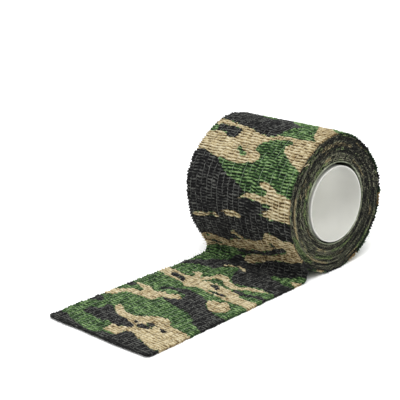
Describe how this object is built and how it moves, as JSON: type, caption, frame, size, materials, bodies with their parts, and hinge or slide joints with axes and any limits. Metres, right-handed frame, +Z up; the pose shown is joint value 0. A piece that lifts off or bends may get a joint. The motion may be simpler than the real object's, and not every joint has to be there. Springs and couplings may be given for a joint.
{
  "type": "cohesive wrap tape roll",
  "caption": "Roll of crinkled self-clinging elastic wrap tape in a camouflage print on a hollow white core, with a drawn-off tail lying flat in front.",
  "frame": {"origin": "middle of the footprint, on the surface that the roll and its tail lie on", "axes": "+X from the tail's free end towards the roll, +Y along the roll's axis, +Z up"},
  "size_m": [0.118, 0.05, 0.05],
  "materials": {
    "printed_web": "matt crinkled non-woven, green, tan and black camouflage print",
    "back_web": "matt crinkled non-woven, print showing through",
    "wound_edge": "fuzzy cut edges of the wound tape",
    "elastic_thread": "fine pale elastic yarn, slight sheen",
    "core_plastic": "satin white moulded plastic",
    "liner_paper": "matt pale grey-green sleeve"
  },
  "bodies": {
    "peel": {"bend_face_web": "printed_web", "bend_back_web": "back_web"},
    "roll": {"core_liner": "liner_paper", "wound_tape": "wound_edge", "outer_wrap": "printed_web"},
    "core": {"core_tube": "core_plastic"},
    "tail": {"tail_face_web": "printed_web", "tail_back_web": "back_web", "tail_thread_01": "elastic_thread", "tail_thread_02": "elastic_thread", "tail_thread_03": "elastic_thread", "tail_thread_04": "elastic_thread", "tail_thread_05": "elastic_thread", "tail_thread_06": "elastic_thread", "tail_thread_07": "elastic_thread", "tail_thread_08": "elastic_thread", "tail_thread_09": "elastic_thread", "tail_thread_10": "elastic_thread", "tail_thread_11": "elastic_thread", "tail_thread_12": "elastic_thread", "tail_thread_13": "elastic_thread", "tail_thread_14": "elastic_thread", "tail_thread_15": "elastic_thread", "tail_thread_16": "elastic_thread", "tail_thread_17": "elastic_thread", "tail_thread_18": "elastic_thread"}
  },
  "joints": [
    {"name": "roll_turn", "type": "hinge", "parent": "peel", "child": "roll", "pos_m": [0.034, 0, 0.025], "axis": [0, -1, 0], "range_deg": [-45, 115]},
    {"name": "core_turn", "type": "hinge", "parent": "roll", "child": "core", "pos_m": [0.03445, 0, 0.0245], "axis": [0, 1, 0], "continuous": true},
    {"name": "tape_draw", "type": "slide", "parent": "peel", "child": "tail", "axis": [-1, 0, 0], "range_m": [-0.02, 0.0505], "deforming": ["tail_face_web", "tail_back_web", "tail_thread_01", "tail_thread_02", "tail_thread_03", "tail_thread_04", "tail_thread_05", "tail_thread_06", "tail_thread_07", "tail_thread_08", "tail_thread_09", "tail_thread_10", "tail_thread_11", "tail_thread_12", "tail_thread_13", "tail_thread_14", "tail_thread_15", "tail_thread_16", "tail_thread_17", "tail_thread_18"]}
  ],
  "couplings": [
    {"joint": "tape_draw", "follows": "roll_turn", "m_per_rad": 0.025}
  ]
}
